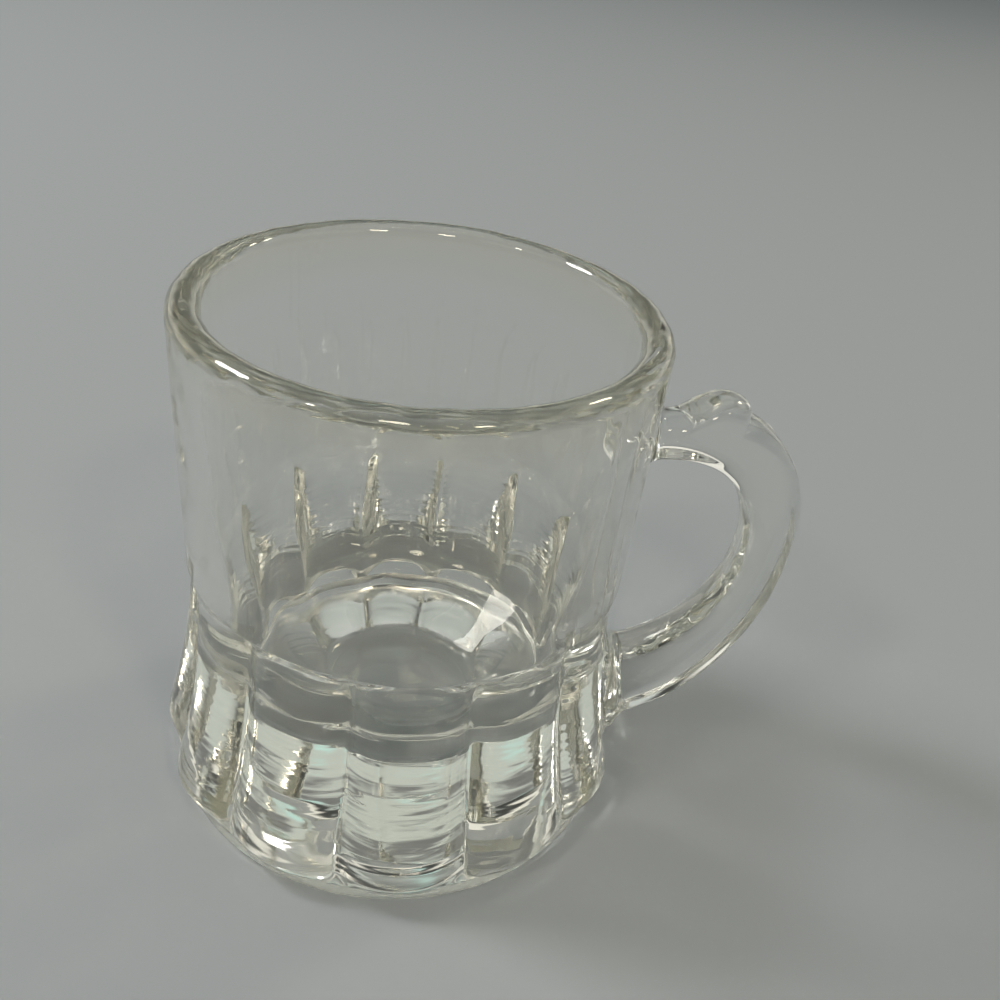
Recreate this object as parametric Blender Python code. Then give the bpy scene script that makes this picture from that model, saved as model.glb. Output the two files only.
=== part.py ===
# Miniature beer mug in clear pressed glass: a plain barrel on a base of twelve petals, with a loop
# handle on +X. Units are metres, +Z is up, and the origin is the centre of the foot's underside.
import math

import bmesh
import bpy

mm = 0.001

# Cup and barrel
MUG_HEIGHT = 50.8 * mm
RIM_RADIUS = 21.5 * mm
RIM_WALL = 2.9 * mm
LEDGE_HEIGHT = 26.0 * mm
LEDGE_RADIUS = 21.3 * mm
LEDGE_WALL = 3.1 * mm
CUP_CORNER_DROP = 1.2 * mm
CUP_CORNER_WIDTH = 6.0 * mm
CUP_CORNER_DEPTH = 13.1 * mm
CUP_CORNER_TURN = math.radians(72)
CUP_FLOOR_RADIUS = 7.7 * mm
CUP_FLOOR_THICKNESS = 7.5 * mm

# Petals of the base, measured from the radius of the ledge above them
PETAL_COUNT = 12
PETAL_BULGE = 1.6 * mm
GROOVE_DEPTH = 1.9 * mm
GROOVE_FLARE = 1.55 * mm
FLARE_POWER = 1.94
SHOULDER_HEIGHT = 2.8 * mm
TOE_HEIGHT = 1.6 * mm

# Foot
FOOT_HEIGHT = 1.7 * mm
FOOT_SPREAD = 2.0 * mm
FOOT_EDGE_RADIUS = 0.5 * mm

# Handle
HANDLE_DROP = 10.0 * mm
HANDLE_RISE = 0.9 * mm
HANDLE_REACH = 18.2 * mm
HANDLE_BELLY_DROP = 14.0 * mm
HANDLE_CORNER_WIDTH = 10.5 * mm
HANDLE_TOP_DEPTH = 4.0 * mm
HANDLE_SIDE_DEPTH = 5.4 * mm
HANDLE_FOOT_DEPTH = 9.8 * mm
HANDLE_LIFT = 0.5 * mm
HANDLE_HOLE_CORNER_WIDTH = 9.1 * mm
HANDLE_THICKNESS = 5.2 * mm
HANDLE_EDGE_RADIUS = 1.5 * mm
HANDLE_SINK = 1.3 * mm

# Thumb rest, which starts this far out from the barrel and follows the handle's outer edge
REST_START = 4.2 * mm
REST_RAMP_LENGTH = 3.6 * mm
REST_NOSE_LENGTH = 1.8 * mm
REST_HEIGHT = 1.3 * mm
REST_START_HEIGHT = 0.3 * mm
REST_STEP_HEIGHT = 0.6 * mm
REST_EDGE_RADIUS = 0.6 * mm

# Clear gap left where two named parts of the glass meet
FUSE_GAP = 0.3 * mm

# Glass
GLASS_ROUGHNESS = 0.04
GLASS_IOR = 1.52
GLASS_ALPHA = 0.35
BARREL_TINT = (0.93, 0.94, 0.90)
BASE_TINT = (0.90, 0.95, 0.94)
FOOT_TINT = (0.92, 0.95, 0.94)
HANDLE_TINT = (0.93, 0.94, 0.93)
CUTTER_TINT = (0.5, 0.5, 0.5)

# Facets
POINTS_PER_PETAL = 8
RING_POINTS = PETAL_COUNT * POINTS_PER_PETAL
RIM_STEPS = 8
CORNER_STEPS = 10
SHOULDER_STEPS = 4
FLARE_STEPS = 7
TOE_STEPS = 4
FOOT_STEPS = 3
HANDLE_RUN_STEPS = 3
HANDLE_LOOP_STEPS = 12
HANDLE_CORNER_POINTS = 4
REST_RAMP_STEPS = 6
REST_NOSE_STEPS = 5
SHARP_ANGLE = math.radians(35)

# A rounded corner keeps its radius under the size of its section over this number
CORNER_ROOM = 2.2

FLARE_HEIGHT = FOOT_HEIGHT + TOE_HEIGHT
FOOT_RADIUS = LEDGE_RADIUS + FOOT_SPREAD
RIM_CENTRE_HEIGHT = MUG_HEIGHT - RIM_WALL / 2
CUP_CORNER_HEIGHT = LEDGE_HEIGHT - CUP_CORNER_DROP
CUP_LEDGE_RADIUS = LEDGE_RADIUS - LEDGE_WALL
HANDLE_TOP = MUG_HEIGHT - HANDLE_DROP
HANDLE_BELLY = HANDLE_TOP - HANDLE_BELLY_DROP
HANDLE_BOTTOM = FOOT_HEIGHT + HANDLE_LIFT


def spread(start, end, steps):
    return [start + (end - start) * i / steps for i in range(steps + 1)]


# Outer and inner surfaces of the cup

def barrelRadius(z):
    share = (z - LEDGE_HEIGHT) / (RIM_CENTRE_HEIGHT - LEDGE_HEIGHT)
    return LEDGE_RADIUS + (RIM_RADIUS - LEDGE_RADIUS) * share


def cupRadius(z):
    share = (z - LEDGE_HEIGHT) / (RIM_CENTRE_HEIGHT - LEDGE_HEIGHT)
    return CUP_LEDGE_RADIUS + (RIM_RADIUS - RIM_WALL - CUP_LEDGE_RADIUS) * share


def petalRadius(angle, z):
    # A petal bows out between two grooves, flares downwards and curves in at the ledge and at the foot
    half = math.pi / PETAL_COUNT
    across = ((angle + half) % (2 * half) - half) / half
    down = (LEDGE_HEIGHT - max(z, FLARE_HEIGHT)) / (LEDGE_HEIGHT - FLARE_HEIGHT)
    groove = LEDGE_RADIUS - GROOVE_DEPTH + (GROOVE_DEPTH + GROOVE_FLARE) * down ** FLARE_POWER
    radius = groove + PETAL_BULGE * (1 - across ** 2)
    shoulder = (z - LEDGE_HEIGHT + SHOULDER_HEIGHT) / SHOULDER_HEIGHT
    if shoulder > 0:
        radius += (LEDGE_RADIUS - radius) * shoulder ** 2
    toe = (FLARE_HEIGHT - z) / TOE_HEIGHT
    if toe > 0:
        radius = FOOT_RADIUS + (radius - FOOT_RADIUS) * math.sqrt(max(0.0, 1 - toe ** 2))
    return radius


def circle(radius, z):
    return petalRing(lambda angle: radius, z)


def petalRing(radiusAt, z):
    angles = [2 * math.pi * i / RING_POINTS for i in range(RING_POINTS)]
    return [(radiusAt(a) * math.cos(a), radiusAt(a) * math.sin(a), z) for a in angles]


def petalHeights(low):
    heights = [FLARE_HEIGHT - TOE_HEIGHT * math.cos(math.pi / 2 * i / TOE_STEPS) for i in range(TOE_STEPS)]
    heights = [low] + [z for z in heights if z > low + FUSE_GAP / 2]
    heights += spread(FLARE_HEIGHT, LEDGE_HEIGHT - SHOULDER_HEIGHT, FLARE_STEPS)
    return heights + spread(LEDGE_HEIGHT - SHOULDER_HEIGHT, LEDGE_HEIGHT, SHOULDER_STEPS)[1:]


# Meshes

def glassMaterial(name, tint):
    material = bpy.data.materials.new(name)
    material.use_nodes = True
    shader = material.node_tree.nodes["Principled BSDF"]
    shader.inputs["Base Color"].default_value = (*tint, 1.0)
    shader.inputs["Roughness"].default_value = GLASS_ROUGHNESS
    shader.inputs["Metallic"].default_value = 0.0
    shader.inputs["IOR"].default_value = GLASS_IOR
    shader.inputs["Transmission Weight"].default_value = 1.0
    material.diffuse_color = (*tint, GLASS_ALPHA)
    return material


def skin(name, rings, tint, closed=False):
    # Joins loops of points in order, and either closes the last onto the first or caps both ends
    mesh = bpy.data.meshes.new(name)
    shape = bmesh.new()
    loops = [[shape.verts.new(point) for point in ring] for ring in rings]
    pairs = list(zip(loops, loops[1:]))
    if closed:
        pairs.append((loops[-1], loops[0]))
    else:
        shape.faces.new(loops[0])
        shape.faces.new(loops[-1])
    for lower, upper in pairs:
        for i in range(len(lower)):
            shape.faces.new((lower[i - 1], lower[i], upper[i], upper[i - 1]))
    bmesh.ops.recalc_face_normals(shape, faces=shape.faces)
    shape.to_mesh(mesh)
    shape.free()
    mesh.shade_smooth()
    mesh.set_sharp_from_angle(angle=SHARP_ANGLE)
    mesh.materials.append(glassMaterial(name + "_glass", tint))
    node = bpy.data.objects.new(name, mesh)
    bpy.context.collection.objects.link(node)
    return node


def makeBarrel():
    low = LEDGE_HEIGHT + FUSE_GAP
    rings = [circle(barrelRadius(low), low)]
    for turn in spread(0, math.pi, RIM_STEPS):
        radius = RIM_RADIUS - RIM_WALL / 2 + RIM_WALL / 2 * math.cos(turn)
        rings.append(circle(radius, RIM_CENTRE_HEIGHT + RIM_WALL / 2 * math.sin(turn)))
    rings.append(circle(cupRadius(low), low))
    return skin("barrel", rings, BARREL_TINT, closed=True)


def makeFlutedBase():
    low = FOOT_HEIGHT + FUSE_GAP
    rings = [petalRing(lambda a: petalRadius(a, z), z) for z in petalHeights(low)]
    rings.append(circle(CUP_LEDGE_RADIUS, LEDGE_HEIGHT))
    for turn in spread(0, CUP_CORNER_TURN, CORNER_STEPS):
        radius = CUP_LEDGE_RADIUS - CUP_CORNER_WIDTH * (1 - math.cos(turn))
        rings.append(circle(radius, CUP_CORNER_HEIGHT - CUP_CORNER_DEPTH * math.sin(turn)))
    rings.append(circle(CUP_FLOOR_RADIUS, CUP_FLOOR_THICKNESS))
    return skin("fluted_base", rings, BASE_TINT)


def makeFoot():
    rings = []
    for turn in spread(0, math.pi / 2, FOOT_STEPS):
        radius = FOOT_RADIUS - FOOT_EDGE_RADIUS * (1 - math.sin(turn))
        rings.append(circle(radius, FOOT_EDGE_RADIUS * (1 - math.cos(turn))))
    rings.append(circle(FOOT_RADIUS, FOOT_HEIGHT))
    return skin("foot", rings, FOOT_TINT)


# Handle, drawn in the XZ plane by pairs of points on its outer edge and on the edge of its hole

def ellipsePoint(centreX, width, height, turn):
    return (centreX + width * math.cos(turn), HANDLE_BELLY + height * math.sin(turn))


def handlePairs():
    outerX = LEDGE_RADIUS + HANDLE_REACH
    holeX = outerX - HANDLE_SIDE_DEPTH
    rootX = barrelRadius(HANDLE_TOP) - HANDLE_SINK
    loopX = LEDGE_RADIUS - HANDLE_SINK
    crown = HANDLE_TOP + HANDLE_RISE
    outerCorner = (outerX - HANDLE_CORNER_WIDTH, crown)
    holeCorner = (holeX - HANDLE_HOLE_CORNER_WIDTH, HANDLE_TOP - HANDLE_TOP_DEPTH)
    pairs = []
    for share in spread(0, 1, HANDLE_RUN_STEPS)[:-1]:
        outer = (rootX + (outerCorner[0] - rootX) * share, HANDLE_TOP + HANDLE_RISE * share)
        hole = (rootX + (holeCorner[0] - rootX) * share, holeCorner[1])
        pairs.append((outer, hole))
    for turn in spread(math.pi / 2, 0, HANDLE_LOOP_STEPS):
        outer = ellipsePoint(outerCorner[0], HANDLE_CORNER_WIDTH, crown - HANDLE_BELLY, turn)
        hole = ellipsePoint(holeCorner[0], HANDLE_HOLE_CORNER_WIDTH, holeCorner[1] - HANDLE_BELLY, turn)
        pairs.append((outer, hole))
    for turn in spread(0, -math.pi / 2, HANDLE_LOOP_STEPS)[1:]:
        outer = ellipsePoint(loopX, outerX - loopX, HANDLE_BELLY - HANDLE_BOTTOM, turn)
        hole = ellipsePoint(loopX, holeX - loopX, HANDLE_BELLY - HANDLE_BOTTOM - HANDLE_FOOT_DEPTH, turn)
        pairs.append((outer, hole))
    return pairs


def roundedSection(inner, outer, thickness, edge):
    # A rectangle with rounded corners, standing on the line from inner to outer in the XZ plane
    span = math.dist(inner, outer)
    edge = min(edge, span / CORNER_ROOM, thickness / CORNER_ROOM)
    points = []
    for corner in range(4):
        alongSign = 1 if corner in (0, 3) else -1
        sideSign = 1 if corner in (0, 1) else -1
        for step in spread(0, math.pi / 2, HANDLE_CORNER_POINTS - 1):
            turn = corner * math.pi / 2 + step
            along = span / 2 + alongSign * (span / 2 - edge) + edge * math.cos(turn)
            side = sideSign * (thickness / 2 - edge) + edge * math.sin(turn)
            share = along / span
            x = inner[0] + (outer[0] - inner[0]) * share
            z = inner[1] + (outer[1] - inner[1]) * share
            points.append((x, side, z))
    return points


def makeBodyCutter():
    # The outside of foot, petals and barrel, grown by the gap, which trims the handle's two ends
    low = FOOT_HEIGHT
    rings = [circle(FOOT_RADIUS + FUSE_GAP, -FUSE_GAP)]
    rings += [petalRing(lambda a: petalRadius(a, z) + FUSE_GAP, z) for z in petalHeights(low)]
    rings.append(circle(RIM_RADIUS + FUSE_GAP, RIM_CENTRE_HEIGHT))
    cutter = skin("body_cutter", rings, CUTTER_TINT)
    cutter.hide_render = True
    cutter.display_type = "WIRE"
    return cutter


def makeHandle(cutter):
    rings = []
    for outer, hole in handlePairs():
        rings.append(roundedSection(hole, outer, HANDLE_THICKNESS, HANDLE_EDGE_RADIUS))
    handle = skin("handle", rings, HANDLE_TINT)
    trim = handle.modifiers.new("trim to the body", "BOOLEAN")
    trim.operation = "DIFFERENCE"
    trim.solver = "EXACT"
    trim.object = cutter
    return handle


def edgeStation(edge, distance):
    # The point this far along a line of points, with the line's outward normal there
    for a, b in zip(edge, edge[1:]):
        leg = math.dist(a, b)
        if leg >= distance:
            break
        distance -= leg
    share = distance / leg
    point = (a[0] + (b[0] - a[0]) * share, a[1] + (b[1] - a[1]) * share)
    return point, ((a[1] - b[1]) / leg, (b[0] - a[0]) / leg)


def restHeights():
    # Distance along the rest and its height there: a ramp up, then a rounded nose that ends in a step
    heights = []
    for share in spread(0, 1, REST_RAMP_STEPS):
        rise = (REST_HEIGHT - REST_START_HEIGHT) * share
        heights.append((REST_RAMP_LENGTH * share, REST_START_HEIGHT + rise))
    for turn in spread(0, math.pi / 2, REST_NOSE_STEPS)[1:]:
        along = REST_RAMP_LENGTH + REST_NOSE_LENGTH * math.sin(turn)
        heights.append((along, REST_STEP_HEIGHT + (REST_HEIGHT - REST_STEP_HEIGHT) * math.cos(turn)))
    return heights


def makeThumbRest():
    edge = [outer for outer, hole in handlePairs()]
    rings = []
    for along, height in restHeights():
        point, normal = edgeStation(edge, HANDLE_SINK + REST_START + along)
        inner = (point[0] + normal[0] * FUSE_GAP, point[1] + normal[1] * FUSE_GAP)
        outer = (inner[0] + normal[0] * height, inner[1] + normal[1] * height)
        rings.append(roundedSection(inner, outer, HANDLE_THICKNESS, REST_EDGE_RADIUS))
    return skin("thumb_rest", rings, HANDLE_TINT)


def build():
    for old in list(bpy.data.objects):
        bpy.data.objects.remove(old)
    makeFoot()
    makeFlutedBase()
    makeBarrel()
    makeHandle(makeBodyCutter())
    makeThumbRest()


build()
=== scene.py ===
import math

import bpy
from mathutils import Matrix, Vector, noise


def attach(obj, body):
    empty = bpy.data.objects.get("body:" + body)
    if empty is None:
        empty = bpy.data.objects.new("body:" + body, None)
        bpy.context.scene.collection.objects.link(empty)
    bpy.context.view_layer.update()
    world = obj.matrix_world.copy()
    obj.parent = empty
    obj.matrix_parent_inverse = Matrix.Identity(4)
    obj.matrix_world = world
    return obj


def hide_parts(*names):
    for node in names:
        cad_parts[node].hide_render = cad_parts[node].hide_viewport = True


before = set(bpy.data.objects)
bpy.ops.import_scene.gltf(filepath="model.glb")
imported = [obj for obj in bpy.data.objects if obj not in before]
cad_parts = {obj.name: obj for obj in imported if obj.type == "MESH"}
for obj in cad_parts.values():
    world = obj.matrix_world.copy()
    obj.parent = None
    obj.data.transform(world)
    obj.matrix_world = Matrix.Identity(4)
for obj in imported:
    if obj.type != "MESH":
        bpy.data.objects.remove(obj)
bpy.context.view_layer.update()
bpy.ops.object.select_all(action="DESELECT")

mm = 0.001
hair = 0.01  # mm, less than any two rows of faces lie apart
scene = bpy.context.scene


def linear(hexColour):
    # sRGB hex to the linear values the shaders want
    values = []
    for i in (1, 3, 5):
        c = int(hexColour[i:i + 2], 16) / 255
        values.append(c / 12.92 if c <= 0.04045 else ((c + 0.055) / 1.055) ** 2.4)
    return (*values, 1.0)


def addNode(tree, kind, settings=None, links=None, **attributes):
    # one node, with its socket values, its links (socket: other socket) and its own attributes
    node = tree.nodes.new(kind)
    for name, value in attributes.items():
        setattr(node, name, value)
    for socket, value in (settings or {}).items():
        node.inputs[socket].default_value = value
    for socket, source in (links or {}).items():
        tree.links.new(source, node.inputs[socket])
    return node


def activate(obj):
    bpy.ops.object.select_all(action="DESELECT")
    obj.select_set(True)
    bpy.context.view_layer.objects.active = obj


def applyModifier(obj, name):
    activate(obj)
    bpy.ops.object.modifier_apply(modifier=name)


def between(start, end, share):
    return start + (end - start) * share


def steps(start, end, count):
    return [start + (end - start) * i / count for i in range(count + 1)]


def smooth(t):
    t = max(0.0, min(1.0, t))
    return t * t * (3 - 2 * t)


# camera at the photograph's viewpoint, place in mm, found by fitting rim, sides, petals and foot
camera = {
    "place": (-5.652, -78.057, 82.358),
    "right": (0.98797, -0.10350, 0.11491),
    "up": (-0.03781, 0.55885, 0.82841),
    "lens": 34.78,
    "sensor": 36,
    "near": 0.002,  # clipping, in metres
    "far": 20,
}

bpy.ops.object.camera_add()
cameraObject = bpy.context.object
cameraObject.name = "photoCamera"
right, up = Vector(camera["right"]), Vector(camera["up"])
turn = Matrix((right, up, right.cross(up))).transposed().to_4x4()
cameraObject.matrix_world = Matrix.Translation(Vector(camera["place"]) * mm) @ turn
cameraObject.data.lens = camera["lens"]
cameraObject.data.sensor_width = camera["sensor"]
cameraObject.data.clip_start = camera["near"]
cameraObject.data.clip_end = camera["far"]
scene.camera = cameraObject
print("camera set")


# body of the mug, sizes in mm: those of the CAD, with flatter petals and soft grooves and cup floor
body = {
    "height": 50.8,
    "rimRadius": 21.5,
    "rimWall": 2.9,
    "ledgeHeight": 26.0,
    "ledgeRadius": 21.3,
    "ledgeWall": 3.1,
    "ledgeCrease": 0.006,  # share of the wall's height up to a first row of faces that keeps the ledge crisp
    "cornerDrop": 1.2,
    "cornerWidth": 6.0,
    "cornerDepth": 13.1,
    "cornerTurn": 72,
    "floorRadius": 7.7,
    "floorThickness": 7.5,
    "floorRound": 0.9,
    "petals": 12,
    "petalBulge": 1.6,
    "petalFlat": 1.2,  # how much flatter than a plain curve a petal's top is; it rounds off towards the foot
    "grooveDepth": 1.9,
    "grooveFlare": 1.55,
    "grooveRound": 0.06,  # share of half a petal that the bottom of a groove is rounded over
    "flarePower": 1.94,
    "shoulder": 2.8,
    "toe": 1.6,
    "footHeight": 1.7,
    "footSpread": 2.0,
    "footEdge": 0.5,
    "columns": 24,  # columns of faces per petal
    "crowding": 1.45,  # above 1 the columns stand closer together towards the grooves
    "mergeDistance": 0.002,
    "sharpAngle": 34,
}
# rows of faces along each stretch of the body's half section
rows = {
    "underside": 10,
    "footEdge": 6,
    "foot": 3,
    "toe": 8,
    "flare": 26,
    "shoulder": 12,
    "wall": 26,
    "lip": 20,
    "bore": 30,
    "corner": 36,
    "slope": 10,
    "floorRound": 8,
    "floor": 8,
}
footRadius = body["ledgeRadius"] + body["footSpread"]
flareHeight = body["footHeight"] + body["toe"]
rimCentre = body["height"] - body["rimWall"] / 2
cornerTop = body["ledgeHeight"] - body["cornerDrop"]
cupRadius = body["ledgeRadius"] - body["ledgeWall"]
halfPetal = math.pi / body["petals"]


def bodyProfile():
    # half section in mm, from the middle of the underside out, up, over the rim and down to the cup floor
    b = body
    points = [(r, 0.0) for r in steps(0, footRadius - b["footEdge"], rows["underside"])]
    for a in steps(0, math.pi / 2, rows["footEdge"])[1:]:
        points.append((footRadius - b["footEdge"] * (1 - math.sin(a)), b["footEdge"] * (1 - math.cos(a))))
    # the petals are pressed into this straight side later
    heights = steps(b["footEdge"], b["footHeight"], rows["foot"])[1:]
    heights += [flareHeight - b["toe"] * math.cos(a) for a in steps(0, math.pi / 2, rows["toe"])[1:]]
    heights += steps(flareHeight, b["ledgeHeight"] - b["shoulder"], rows["flare"])[1:]
    heights += steps(b["ledgeHeight"] - b["shoulder"], b["ledgeHeight"], rows["shoulder"])[1:]
    points += [(footRadius, z) for z in heights]
    for share in [b["ledgeCrease"]] + steps(0, 1, rows["wall"])[1:]:
        z = between(b["ledgeHeight"], rimCentre, share)
        points.append((between(b["ledgeRadius"], b["rimRadius"], share), z))
    lip = b["rimWall"] / 2
    for a in steps(0, math.pi, rows["lip"])[1:]:
        points.append((b["rimRadius"] - lip + lip * math.cos(a), rimCentre + lip * math.sin(a)))
    inner = b["rimRadius"] - b["rimWall"]
    for share in steps(0, 1, rows["bore"])[1:]:
        points.append((between(inner, cupRadius, share), between(rimCentre, b["ledgeHeight"], share)))
    for a in steps(0, math.radians(b["cornerTurn"]), rows["corner"]):
        radius = cupRadius - b["cornerWidth"] * (1 - math.cos(a))
        points.append((radius, cornerTop - b["cornerDepth"] * math.sin(a)))
    radius, z = points[-1]
    slope = (z - b["floorThickness"]) / (radius - b["floorRadius"])
    soft = b["floorRound"]
    for r in steps(radius, b["floorRadius"] + soft, rows["slope"])[1:]:
        points.append((r, b["floorThickness"] + (r - b["floorRadius"]) * slope))
    for r in steps(b["floorRadius"] + soft, b["floorRadius"] - soft, rows["floorRound"])[1:]:
        points.append((r, b["floorThickness"] + slope * (r - b["floorRadius"] + soft) ** 2 / (4 * soft)))
    points += [(r, b["floorThickness"]) for r in steps(b["floorRadius"] - soft, 0, rows["floor"])[1:]]
    return points


def petalRadius(across, z):
    # across runs from -1 to 1 over a petal
    b = body
    down = (b["ledgeHeight"] - max(z, flareHeight)) / (b["ledgeHeight"] - flareHeight)
    flare = (b["grooveDepth"] + b["grooveFlare"]) * down ** b["flarePower"]
    groove = b["ledgeRadius"] - b["grooveDepth"] + flare
    edge = max(0.0, abs(across) - 1 + b["grooveRound"]) / b["grooveRound"]
    power = 2 + b["petalFlat"] * (1 - down)
    crown = 1 - abs(across) ** power
    radius = groove + b["petalBulge"] * (crown + power / 2 * b["grooveRound"] * edge ** 2)
    shoulder = (z - b["ledgeHeight"] + b["shoulder"]) / b["shoulder"]
    if shoulder > 0:
        radius += (b["ledgeRadius"] - radius) * shoulder ** 2
    toe = (flareHeight - z) / b["toe"]
    if toe > 0:
        radius = footRadius + (radius - footRadius) * math.sqrt(max(0.0, 1 - toe ** 2))
    return radius


def columnAcross(column):
    # where a column stands across its petal, crowded towards the grooves so that these stay crisp
    share = column / (body["columns"] / 2)
    return math.copysign(1 - (1 - abs(share)) ** body["crowding"], share)


def makeBody():
    # a plane is merged into one point, which is drawn along the half section and spun
    profile = bodyProfile()
    bpy.ops.mesh.primitive_plane_add(size=mm)
    obj = bpy.context.object
    obj.name = "mug_glass"
    bpy.ops.object.mode_set(mode="EDIT")
    bpy.ops.mesh.select_all(action="SELECT")
    bpy.ops.mesh.merge(type="CENTER")
    for (r0, z0), (r1, z1) in zip(profile, profile[1:]):
        move = ((r1 - r0) * mm, 0, (z1 - z0) * mm)
        bpy.ops.mesh.extrude_region_move(TRANSFORM_OT_translate={"value": move})
    bpy.ops.mesh.select_all(action="SELECT")
    columns = body["petals"] * body["columns"]
    bpy.ops.mesh.spin(steps=columns, angle=2 * math.pi, center=(0, 0, 0), axis=(0, 0, 1))
    bpy.ops.mesh.select_all(action="SELECT")
    bpy.ops.mesh.remove_doubles(threshold=body["mergeDistance"] * mm)
    bpy.ops.mesh.normals_make_consistent(inside=False)
    bpy.ops.object.mode_set(mode="OBJECT")
    pressPetals(obj)
    return obj


def pressPetals(obj):
    # the flutes and the crowding of the columns can't be had from an operator, so the points are moved
    for v in obj.data.vertices:
        r = math.hypot(v.co.x, v.co.y) / mm
        if r < hair:
            continue
        z = v.co.z / mm
        column = math.atan2(v.co.y, v.co.x) / (2 * halfPetal) * body["columns"]
        petal = round(column / body["columns"])
        across = columnAcross(column - petal * body["columns"])
        angle = (2 * petal + across) * halfPetal
        if r > body["ledgeRadius"] and body["footHeight"] + hair < z < body["ledgeHeight"] + hair:
            r = petalRadius(across, min(z, body["ledgeHeight"]))
        v.co.x = r * math.cos(angle) * mm
        v.co.y = r * math.sin(angle) * mm


# handle, sizes in mm, drawn in the plane y = 0 by its outer edge and the edge of its hole
handle = {
    "top": 40.8,
    "rise": 0.9,
    "outerX": 39.5,
    "belly": 26.8,
    "cornerWidth": 10.5,
    "topDepth": 4.0,
    "sideDepth": 5.4,
    "footDepth": 9.8,
    "bottom": 2.2,
    "holeCornerWidth": 9.1,
    "thickness": 5.2,
    "edge": 1.3,
    "holeEdge": 2.2,  # softer round the lower part of the hole
    "sink": 1.3,
    "restStart": 3.0,
    "restCrest": 7.6,
    "restEnd": 9.6,
    "restRunOut": 0.45,
    "restHeight": 1.6,
    "restStep": 0.85,
    "restEdge": 2.3,  # the thumb rest is almost half round across, and runs out into the plain edge below it
    "restFade": 9.0,
    "fillet": 2.2,  # radius with which the handle runs into the body
    "filletTurn": 0.93,  # share of the fillet that is kept, as its last stretch would stand too steep
    "topSteps": 24,
    "bendSteps": 48,
    "cornerPoints": 9,
    "topStations": 30,
    "noseStations": 18,  # finer from before the nose of the thumb rest to just past it
    "noseBefore": 2.0,
    "nosePast": 0.6,
    "loopStations": 90,
    "slopeReach": 0.05,  # to either side of a station, for the slope of the edge there
}


def handleEdges():
    # pairs of points along the outer edge and the hole's edge, from the barrel round to the base
    h = handle
    holeX = h["outerX"] - h["sideDepth"]
    rootX = body["ledgeRadius"] - h["sink"]
    crown = h["top"] + h["rise"]
    holeTop = h["top"] - h["topDepth"]
    outerCornerX = h["outerX"] - h["cornerWidth"]
    holeCornerX = holeX - h["holeCornerWidth"]
    deep = h["belly"] - h["bottom"]

    def bend(x, width, height, a):
        return x + width * math.cos(a), h["belly"] + height * math.sin(a)

    pairs = []
    for share in steps(0, 1, h["topSteps"])[:-1]:
        outer = (between(rootX, outerCornerX, share), h["top"] + h["rise"] * share)
        pairs.append((outer, (between(rootX, holeCornerX, share), holeTop)))
    for a in steps(math.pi / 2, 0, h["bendSteps"]):
        outer = bend(outerCornerX, h["cornerWidth"], crown - h["belly"], a)
        pairs.append((outer, bend(holeCornerX, h["holeCornerWidth"], holeTop - h["belly"], a)))
    for a in steps(0, -math.pi / 2, h["bendSteps"])[1:]:
        outer = bend(rootX, h["outerX"] - rootX, deep, a)
        pairs.append((outer, bend(rootX, holeX - rootX, deep - h["footDepth"], a)))
    return pairs


def restHeight(s):
    # height of the thumb rest at a distance s along the outer edge, from where it leaves the barrel
    h = handle
    if s <= h["restCrest"]:
        return h["restHeight"] * smooth((s - h["restStart"]) / (h["restCrest"] - h["restStart"]))
    fall = (s - h["restCrest"]) / (h["restEnd"] - h["restCrest"])
    if fall <= 1:
        return h["restStep"] + (h["restHeight"] - h["restStep"]) * math.sqrt(max(0.0, 1 - fall ** 2))
    return h["restStep"] * (1 - smooth((s - h["restEnd"]) / h["restRunOut"]))


def fillet(x, y, z):
    # how much the handle swells at a point of its surface, by the distance from there to the body
    across = math.atan2(y, x) / halfPetal
    radius = petalRadius(across, z) if z < body["ledgeHeight"] else body["ledgeRadius"]
    reach = handle["fillet"]
    left = reach - max(0.0, math.hypot(x, y) - radius)
    if left <= 0:
        return 0.0
    return reach - math.sqrt(reach ** 2 - min(left, handle["filletTurn"] * reach) ** 2)


def handleSection(inner, outer, innerEdge, outerEdge):
    # a rounded oblong between two points of the edges, a corner at a time
    h = handle
    span = math.dist(inner, outer)
    points = []
    for corner in range(4):
        alongSign = 1 if corner in (0, 3) else -1
        sideSign = 1 if corner in (0, 1) else -1
        edge = outerEdge if alongSign > 0 else innerEdge
        for a in steps(0, math.pi / 2, h["cornerPoints"] - 1):
            turned = corner * math.pi / 2 + a
            along = span / 2 + alongSign * (span / 2 - edge) + edge * math.cos(turned)
            side = sideSign * (h["thickness"] / 2 - edge) + edge * math.sin(turned)
            x = inner[0] + (outer[0] - inner[0]) * along / span
            z = inner[1] + (outer[1] - inner[1]) * along / span
            swell = fillet(x, side, z)
            x += (outer[0] - inner[0]) / span * math.cos(turned) * swell
            z += (outer[1] - inner[1]) / span * math.cos(turned) * swell
            points.append(Vector((x, side + math.sin(turned) * swell, z)) * mm)
    return points


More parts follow.
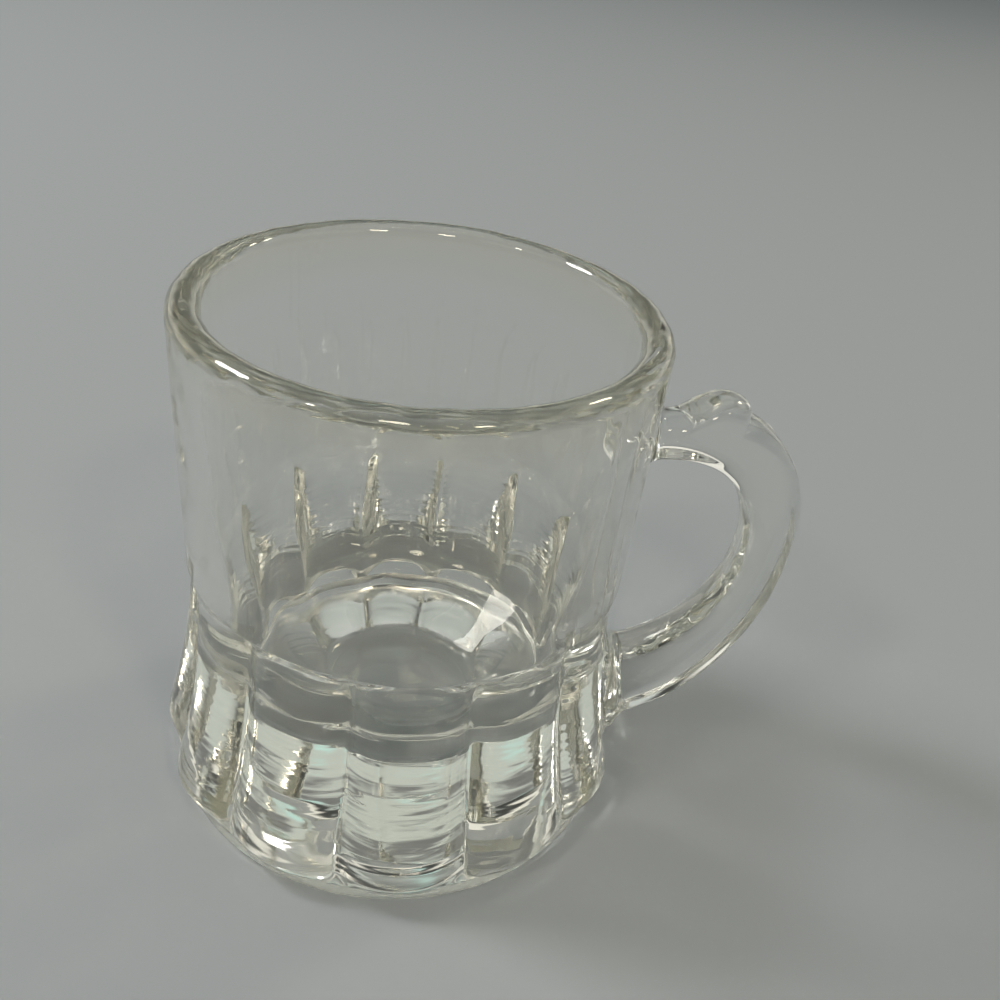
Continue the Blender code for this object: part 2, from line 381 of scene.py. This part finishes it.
def handleStations():
    # both edges and their rounding, station by station along the loop, with the thumb rest on the outer edge
    h = handle
    pairs = handleEdges()
    lengths = [0.0]
    for (a, _), (b, _) in zip(pairs, pairs[1:]):
        lengths.append(lengths[-1] + math.dist(a, b))
    end = lengths[-1]

    def at(s):
        k = max(i for i in range(len(lengths) - 1) if lengths[i] <= s)
        share = (s - lengths[k]) / (lengths[k + 1] - lengths[k])
        outer = [between(p, q, share) for p, q in zip(pairs[k][0], pairs[k + 1][0])]
        hole = [between(p, q, share) for p, q in zip(pairs[k][1], pairs[k + 1][1])]
        return outer, hole

    nose = h["sink"] + h["restEnd"]
    places = steps(0, nose - h["noseBefore"], h["topStations"])
    places += steps(places[-1], nose + h["nosePast"], h["noseStations"])[1:]
    places += steps(places[-1], end, h["loopStations"])[1:]
    stations = []
    for s in places:
        outer, hole = at(s)
        ahead, _ = at(min(s + h["slopeReach"], end))
        behind, _ = at(max(s - h["slopeReach"], 0))
        leg = math.dist(ahead, behind)
        normal = ((behind[1] - ahead[1]) / leg, (ahead[0] - behind[0]) / leg)
        rise = restHeight(s - h["sink"])
        outer = (outer[0] + normal[0] * rise, outer[1] + normal[1] * rise)
        fade = smooth((s - h["sink"] - h["restEnd"]) / h["restFade"])
        innerEdge = between(h["edge"], h["holeEdge"], fade)
        outerEdge = between(h["restEdge"], h["edge"], fade)
        stations.append((hole, outer, innerEdge, outerEdge))
    return stations


def makeHandle():
    stations = handleStations()
    start = 2 * mm  # any radius will do, because each ring is set on its own section afterwards
    bpy.ops.mesh.primitive_circle_add(vertices=4 * handle["cornerPoints"], radius=start, fill_type="NGON")
    obj = bpy.context.object
    obj.name = "handleWork"
    bpy.ops.object.mode_set(mode="EDIT")
    bpy.ops.mesh.select_all(action="SELECT")
    for _ in stations[1:]:
        bpy.ops.mesh.extrude_region_move(TRANSFORM_OT_translate={"value": (0, 0, mm)})
    bpy.ops.object.mode_set(mode="OBJECT")
    # a ring's height in whole mm is the number of its station
    rings = {}
    for v in obj.data.vertices:
        rings.setdefault(round(v.co.z / mm), []).append(v)
    for level, ring in rings.items():
        ring.sort(key=lambda v: math.atan2(v.co.y, v.co.x) % (2 * math.pi))
        for v, place in zip(ring, handleSection(*stations[level])):
            v.co = place
    activate(obj)
    bpy.ops.object.mode_set(mode="EDIT")
    bpy.ops.mesh.select_all(action="SELECT")
    bpy.ops.mesh.normals_make_consistent(inside=False)
    bpy.ops.object.mode_set(mode="OBJECT")
    return obj


# uneven skin that the mould and the fire polish leave, sizes in mm: long soft waves and short ripples
skin = {
    "waveLength": 9.0,
    "waveHeight": 0.08,
    "rippleLength": 2.6,
    "rippleHeight": 0.022,
    "stretch": 2.0,  # on the barrel they run this much longer upwards, the way the plunger drew the glass
    "chillLength": 2.4,
    "chillHeight": 0.05,
    "chillStretch": 4.0,  # on the base they run round it, where the glass chilled in the mould
    "chillFade": 4.0,  # below the ledge
    "lipLength": 1.7,
    "lipHeight": 0.05,  # short dimples that the fire polish leaves along the lip
    "lipStretch": 1.6,
    "lipFade": 4.0,
}


def ripple(obj):
    # the underside stays flat
    places = []
    for v in obj.data.vertices:
        x, y, z = v.co / mm
        if z < body["footEdge"]:
            places.append(v.co.copy())
            continue
        long = Vector((x, y, z / skin["stretch"])) / skin["waveLength"]
        short = Vector((x, y, z / skin["stretch"])) / skin["rippleLength"]
        flat = Vector((x / skin["chillStretch"], y / skin["chillStretch"], z)) / skin["chillLength"]
        dimple = Vector((x, y, z / skin["lipStretch"])) / skin["lipLength"]
        chilled = smooth((body["ledgeHeight"] - z) / skin["chillFade"])
        lip = smooth((z - rimCentre + skin["lipFade"]) / skin["lipFade"])
        push = skin["waveHeight"] * noise.noise(long)
        push += skin["rippleHeight"] * noise.noise(short) * (1 - chilled)
        push += skin["chillHeight"] * noise.noise(flat) * chilled
        push += skin["lipHeight"] * noise.noise(dimple) * lip
        places.append(v.co + v.normal * push * mm)
    for v, place in zip(obj.data.vertices, places):
        v.co = place


mug = makeBody()
print("body pressed:", len(mug.data.polygons), "faces")
handleWork = makeHandle()
print("handle swept:", len(handleWork.data.polygons), "faces")
fuse = mug.modifiers.new("fuse", "BOOLEAN")
fuse.operation = "UNION"
fuse.solver = "EXACT"
fuse.object = handleWork
applyModifier(mug, "fuse")
bpy.data.objects.remove(handleWork)
ripple(mug)
activate(mug)
bpy.ops.object.shade_smooth_by_angle(angle=math.radians(body["sharpAngle"]))
print("handle fused:", len(mug.data.polygons), "faces")


# pressed soda-lime glass: clear with a faint straw tint in depth, bright where the fire polish reached it,
# a touch softer and streaked where it chilled against the mould; sizes in mm
pressedGlass = {
    "lipTint": "#fbf9ef",
    "lipDepth": 6.0,  # below the rim, over which the tint of the lip fades
    "footTint": "#fdfdfb",
    "depthTint": "#dfdcb8",
    "density": 6.0,
    "ior": 1.52,
    "polish": 0.01,
    "pressed": 0.06,  # roughness that the mould leaves on the outside of the base
    "pressedRadius": 21.8,  # middle of the petals, from the axis
    "pressedReach": 3.0,  # in and out from there, which leaves out the cup and the handle
    "pressedFade": 1.5,
    "streakLength": 1.1,  # up the base, from streak to streak
    "streakStretch": 7.0,  # how much longer they are round it
    "streakHeight": 0.08,
    "streakDetail": 1.0,
    "dull": 0.25,  # roughness of the ring that the foot stands on
    "ringInner": 20.6,
    "ringOuter": 22.3,
    "ringInnerFade": 0.4,
    "ringOuterFade": 0.3,
    "ringHeight": 0.12,
}


def makePressedGlass():
    material = bpy.data.materials.new("pressed soda-lime glass")
    material.use_nodes = True
    tree = material.node_tree
    tree.nodes.clear()
    g = pressedGlass
    place = addNode(tree, "ShaderNodeTexCoord").outputs["Object"]
    parts = addNode(tree, "ShaderNodeSeparateXYZ", None, {"Vector": place}).outputs
    flat = addNode(tree, "ShaderNodeVectorMath", {1: (1, 1, 0)}, {0: place}, operation="MULTIPLY")
    radius = addNode(tree, "ShaderNodeVectorMath", None, {0: flat.outputs[0]}, operation="LENGTH")
    radius = radius.outputs["Value"]
    # a touch warmer at the lip, which is seen along its length, than in the heavy base
    rise = addNode(tree, "ShaderNodeMapRange", {
        "From Min": (body["height"] - g["lipDepth"]) * mm,
        "From Max": body["height"] * mm,
    }, {"Value": parts["Z"]})
    tint = addNode(tree, "ShaderNodeMix", {6: linear(g["footTint"]), 7: linear(g["lipTint"])},
                   {0: rise.outputs["Result"]}, data_type="RGBA")
    # ring under the foot, dulled by standing and sliding on tables
    inside = addNode(tree, "ShaderNodeMapRange", {
        "From Min": (g["ringInner"] - g["ringInnerFade"]) * mm,
        "From Max": (g["ringInner"] + g["ringInnerFade"]) * mm,
    }, {"Value": radius}, interpolation_type="SMOOTHSTEP").outputs["Result"]
    outside = addNode(tree, "ShaderNodeMapRange", {
        "From Min": (g["ringOuter"] + g["ringOuterFade"]) * mm,
        "From Max": (g["ringOuter"] - g["ringOuterFade"]) * mm,
    }, {"Value": radius}, interpolation_type="SMOOTHSTEP").outputs["Result"]
    under = addNode(tree, "ShaderNodeMath", {1: g["ringHeight"] * mm}, {0: parts["Z"]}, operation="LESS_THAN")
    band = addNode(tree, "ShaderNodeMath", None, {0: inside, 1: outside}, operation="MULTIPLY").outputs[0]
    ring = addNode(tree, "ShaderNodeMath", None, {0: band, 1: under.outputs[0]}, operation="MULTIPLY")
    # outside of the base, where the mould leaves it less bright than the fire polish
    low = addNode(tree, "ShaderNodeMapRange", {
        "From Min": (body["ledgeHeight"] + g["pressedFade"]) * mm,
        "From Max": (body["ledgeHeight"] - g["pressedFade"]) * mm,
    }, {"Value": parts["Z"]}, interpolation_type="SMOOTHSTEP").outputs["Result"]
    outer = addNode(tree, "ShaderNodeMath", {
        1: g["pressedRadius"] * mm,
        2: g["pressedReach"] * mm,
    }, {0: radius}, operation="COMPARE").outputs[0]
    base = addNode(tree, "ShaderNodeMath", None, {0: low, 1: outer}, operation="MULTIPLY").outputs[0]
    pressed = addNode(tree, "ShaderNodeMapRange", {
        "To Min": g["polish"],
        "To Max": g["pressed"],
    }, {"Value": base})
    rough = addNode(tree, "ShaderNodeMapRange", {"To Max": g["dull"]},
                    {"Value": ring.outputs[0], "To Min": pressed.outputs["Result"]})
    # fine streaks round the base, from the chill of the mould
    drawn = addNode(tree, "ShaderNodeMapping", {
        "Scale": (1 / g["streakStretch"], 1 / g["streakStretch"], 1),
    }, {"Vector": place})
    streaks = addNode(tree, "ShaderNodeTexNoise", {
        "Scale": 1 / (g["streakLength"] * mm),
        "Detail": g["streakDetail"],
    }, {"Vector": drawn.outputs["Vector"]})
    bump = addNode(tree, "ShaderNodeBump", {"Distance": g["streakHeight"] * mm},
                   {"Height": streaks.outputs["Fac"], "Strength": base})
    shader = addNode(tree, "ShaderNodeBsdfPrincipled", {
        "IOR": g["ior"],
        "Transmission Weight": 1.0,
    }, {
        "Base Color": tint.outputs[2],
        "Roughness": rough.outputs["Result"],
        "Normal": bump.outputs["Normal"],
    })
    depth = addNode(tree, "ShaderNodeVolumeAbsorption", {
        "Color": linear(g["depthTint"]),
        "Density": g["density"],
    })
    addNode(tree, "ShaderNodeOutputMaterial", None, {
        "Surface": shader.outputs[0],
        "Volume": depth.outputs[0],
    })
    return material


mug.data.materials.clear()
mug.data.materials.append(makePressedGlass())
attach(mug, "root")
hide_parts("barrel", "fluted_base", "foot", "handle", "thumb_rest")
print("glass set")


# pale grey floor, in metres, with a drop in mm that keeps it clear of the glass
floor = {
    "colour": "#9ba0a5",
    "roughness": 0.9,
    "size": 12.0,
    "drop": 0.15,
}


def makeFloor():
    bpy.ops.mesh.primitive_plane_add(size=floor["size"], location=(0, 0, -floor["drop"] * mm))
    obj = bpy.context.object
    obj.name = "floor"
    material = bpy.data.materials.new("matt grey paper")
    material.use_nodes = True
    tree = material.node_tree
    tree.nodes.clear()
    lit = addNode(tree, "ShaderNodeBsdfPrincipled", {
        "Base Color": linear(floor["colour"]),
        "Roughness": floor["roughness"],
    })
    addNode(tree, "ShaderNodeOutputMaterial", None, {"Surface": lit.outputs[0]})
    obj.data.materials.append(material)


makeFloor()

# soft studio light: a grey room with a pale backdrop, two patches and softboxes, placed by angles in degrees
room = {
    # grey of the room by the height of the line of sight, from 0, level, to 1, straight up
    "shades": [
        (0.0, "#6a6b6a"), (0.1, "#585958"), (0.22, "#222322"), (0.5, "#3c3d3c"),
        (0.6, "#c8cec8"), (0.76, "#c8cec8"), (0.80, "#7c7d7c"), (0.86, "#7c7d7c"),
        (0.89, "#b0b6b2"), (0.94, "#c4cac6"), (0.97, "#ccd0ce"),
    ],
    "strength": 1.0,
    "backdrop": "#f4f2e8",  # low behind the mug, by the height and depth of the line of sight
    "backdropTop": (0.15, 0.36),
    "backdropSides": (-0.15, 0.6),
}
patches = [
    {"name": "darkSide", "azimuth": -86, "elevation": 37, "inner": 18, "outer": 37, "colour": "#242321"},
    {"name": "coolPanel", "azimuth": 92, "elevation": 40, "inner": 2, "outer": 8, "colour": "#c8ece6"},
]
softboxes = [
    {"name": "key", "azimuth": 160, "elevation": 44, "size": 0.3, "power": 6.2, "colour": "#fffcf8"},
    {"name": "rear", "azimuth": 30, "elevation": 46, "size": 0.15, "power": 1.5, "colour": "#fff0d4"},
    {"name": "right", "azimuth": -60, "elevation": 47, "size": 0.15, "power": 1.8, "colour": "#fff0d4"},
    {"name": "front", "azimuth": -104, "elevation": 46, "size": 0.2, "power": 2.0, "colour": "#fff4e0"},
    {"name": "left", "azimuth": -150, "elevation": 46, "size": 0.15, "power": 1.8, "colour": "#fff6e6"},
]
lampDistance = 1.2
bounces = 32  # light is mirrored many times inside the thick base before it comes out


def towards(place):
    around, above = math.radians(place["azimuth"]), math.radians(place["elevation"])
    return Vector((math.cos(around) * math.cos(above), math.sin(around) * math.cos(above), math.sin(above)))


def makeLights():
    for lamp in softboxes:
        place = towards(lamp)
        bpy.ops.object.light_add(type="AREA", location=place * lampDistance)
        obj = bpy.context.object
        obj.name = lamp["name"] + "Softbox"
        obj.data.shape = "DISK"
        obj.data.size = lamp["size"]
        obj.data.energy = lamp["power"]
        obj.data.color = linear(lamp["colour"])[:3]
        obj.rotation_euler = (-place).to_track_quat("-Z", "Y").to_euler()


def makeRoom():
    world = bpy.data.worlds.new("studio")
    scene.world = world
    world.use_nodes = True
    tree = world.node_tree
    tree.nodes.clear()
    look = addNode(tree, "ShaderNodeTexCoord").outputs["Generated"]
    sight = addNode(tree, "ShaderNodeSeparateXYZ", None, {"Vector": look}).outputs
    walls = addNode(tree, "ShaderNodeValToRGB", None, {"Fac": sight["Z"]})
    ramp = walls.color_ramp.elements
    while len(ramp) < len(room["shades"]):
        ramp.new(0.5)
    for element, (place, colour) in zip(ramp, room["shades"]):
        element.position = place
        element.color = linear(colour)
    low = addNode(tree, "ShaderNodeMapRange", {
        "From Min": room["backdropTop"][1],
        "From Max": room["backdropTop"][0],
    }, {"Value": sight["Z"]}, interpolation_type="SMOOTHSTEP").outputs["Result"]
    behind = addNode(tree, "ShaderNodeMapRange", {
        "From Min": room["backdropSides"][0],
        "From Max": room["backdropSides"][1],
    }, {"Value": sight["Y"]}, interpolation_type="SMOOTHSTEP").outputs["Result"]
    both = addNode(tree, "ShaderNodeMath", None, {0: low, 1: behind}, operation="MULTIPLY").outputs[0]
    pale = addNode(tree, "ShaderNodeMix", {7: linear(room["backdrop"])},
                   {0: both, 6: walls.outputs["Color"]}, data_type="RGBA")
    colour = pale.outputs[2]
    for patch in patches:
        facing = addNode(tree, "ShaderNodeVectorMath", {1: towards(patch)}, {0: look},
                         operation="DOT_PRODUCT")
        share = addNode(tree, "ShaderNodeMapRange", {
            "From Min": math.cos(math.radians(patch["outer"])),
            "From Max": math.cos(math.radians(patch["inner"])),
        }, {"Value": facing.outputs["Value"]}, interpolation_type="SMOOTHSTEP").outputs["Result"]
        mix = addNode(tree, "ShaderNodeMix", {7: linear(patch["colour"])}, {0: share, 6: colour},
                      data_type="RGBA", label=patch["name"])
        colour = mix.outputs[2]
    light = addNode(tree, "ShaderNodeBackground", {"Strength": room["strength"]}, {"Color": colour})
    addNode(tree, "ShaderNodeOutputWorld", None, {"Surface": light.outputs[0]})


makeLights()
makeRoom()
scene.view_settings.view_transform = "Standard"
scene.cycles.max_bounces = bounces
scene.cycles.glossy_bounces = bounces
scene.cycles.transmission_bounces = bounces
scene.cycles.blur_glossy = 0  # light that reaches the floor through the glass isn't blurred
print("stage lit")
